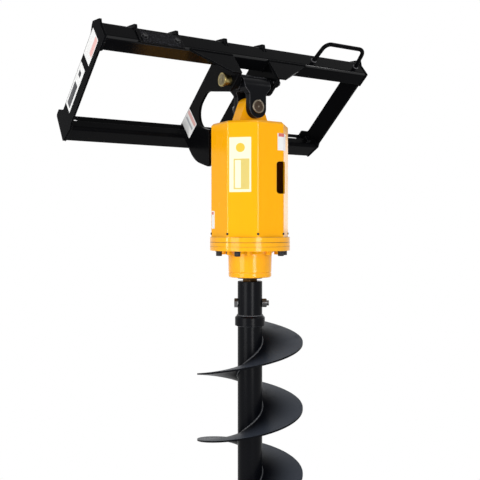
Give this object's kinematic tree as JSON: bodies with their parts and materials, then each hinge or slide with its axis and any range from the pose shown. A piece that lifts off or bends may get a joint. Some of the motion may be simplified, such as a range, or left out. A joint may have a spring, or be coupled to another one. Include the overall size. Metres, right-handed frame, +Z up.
{
  "type": "earth auger drive",
  "caption": "Hydraulic planetary auger drive with a flighted earth auger, hung by a two-way hitch from a tilted skid-steer coupler frame.",
  "frame": {"origin": "middle of the inner face of the top hook, where the machine's quick-attach plate carries the frame", "axes": "+X along the frame's width to its right as seen from the front, +Y to the rear (towards the machine), +Z up; the auger hangs along -Z"},
  "size_m": [1.13, 0.6284, 2.1163],
  "materials": {
    "frame_paint": "gloss black",
    "grit": "black, rough anti-slip surface",
    "drive_paint": "gloss yellow-orange",
    "zinc": "yellow zinc plate",
    "black_bolt": "black oxide",
    "steel": "machined",
    "auger_paint": "semi-gloss black",
    "motor_paint": "black primed casting",
    "seal_rubber": "matt"
  },
  "bodies": {
    "coupler_frame": {"top_rail": "frame_paint", "bottom_rail": "frame_paint", "side_plate_left": "frame_paint", "side_plate_right": "frame_paint", "hitch_plate_left": "frame_paint", "hitch_plate_right": "frame_paint", "wing_left": "frame_paint", "wing_right": "frame_paint", "lip_rib_left": "frame_paint", "lip_rib_right": "frame_paint", "step_tread": "grit", "tread_bolts": "zinc", "grab_handle": "frame_paint", "latch_block": "frame_paint", "hitch_boss_left": "frame_paint", "hitch_boss_right": "frame_paint", "upper_pin": "zinc", "pin_keeper": "frame_paint", "keeper_bolt": "zinc"},
    "knuckle": {"knuckle_tube": "frame_paint", "knuckle_ear_rear": "frame_paint", "knuckle_ear_front": "frame_paint", "lower_pin": "steel", "lower_nut": "steel"},
    "drive": {"drive_cover": "drive_paint", "top_lug": "drive_paint", "cover_flange": "drive_paint", "ring_gear": "drive_paint", "bearing_nose": "drive_paint", "flange_screws": "black_bolt", "motor_plate": "motor_paint", "hydraulic_motor": "motor_paint", "motor_cap": "motor_paint", "bearing_upper": "steel", "bearing_lower": "steel", "shaft_seal": "seal_rubber"},
    "sun": {"sun_gear": "steel"},
    "planet_1": {"planet_gear_1": "steel"},
    "planet_2": {"planet_gear_2": "steel"},
    "planet_3": {"planet_gear_3": "steel"},
    "rotor": {"planet_carrier": "steel", "planet_pins": "steel", "output_shaft": "steel", "auger_hub": "auger_paint", "hub_bolt": "zinc", "hub_nut": "zinc", "collar_ring": "auger_paint", "core_tube": "auger_paint", "pilot_holder": "auger_paint", "pilot_bit": "steel", "flight_1": "auger_paint", "flight_2": "auger_paint", "flight_3": "auger_paint", "flight_4": "auger_paint", "flight_lead": "auger_paint", "cutter_board_1": "auger_paint", "cutter_board_2": "auger_paint", "teeth_1": "steel", "teeth_2": "steel"}
  },
  "joints": [
    {"name": "hitch_swing", "type": "hinge", "parent": "coupler_frame", "child": "knuckle", "pos_m": [0, -0.06553, -0.14009], "axis": [1, 0, 0], "range_deg": [-85, 1.5]},
    {"name": "hitch_sway", "type": "hinge", "parent": "knuckle", "child": "drive", "pos_m": [0, -0.06553, -0.23209], "axis": [0, 1, 0], "range_deg": [-35, 35]},
    {"name": "output_spin", "type": "hinge", "parent": "drive", "child": "rotor", "pos_m": [0, -0.06553, -0.67109], "axis": [0, 0, 1], "continuous": true},
    {"name": "sun_spin", "type": "hinge", "parent": "drive", "child": "sun", "pos_m": [0, -0.06553, -0.67109], "axis": [0, 0, 1], "continuous": true},
    {"name": "planet_1_spin", "type": "hinge", "parent": "rotor", "child": "planet_1", "pos_m": [0.06, -0.06553, -0.67109], "axis": [0, 0, 1], "continuous": true},
    {"name": "planet_2_spin", "type": "hinge", "parent": "rotor", "child": "planet_2", "pos_m": [-0.03, -0.01357, -0.67109], "axis": [0, 0, 1], "continuous": true},
    {"name": "planet_3_spin", "type": "hinge", "parent": "rotor", "child": "planet_3", "pos_m": [-0.03, -0.11749, -0.67109], "axis": [0, 0, 1], "continuous": true}
  ],
  "couplings": [
    {"joint": "sun_spin", "follows": "output_spin", "ratio": 5},
    {"joint": "planet_1_spin", "follows": "output_spin", "ratio": -2.6667},
    {"joint": "planet_2_spin", "follows": "output_spin", "ratio": -2.6667},
    {"joint": "planet_3_spin", "follows": "output_spin", "ratio": -2.6667}
  ]
}
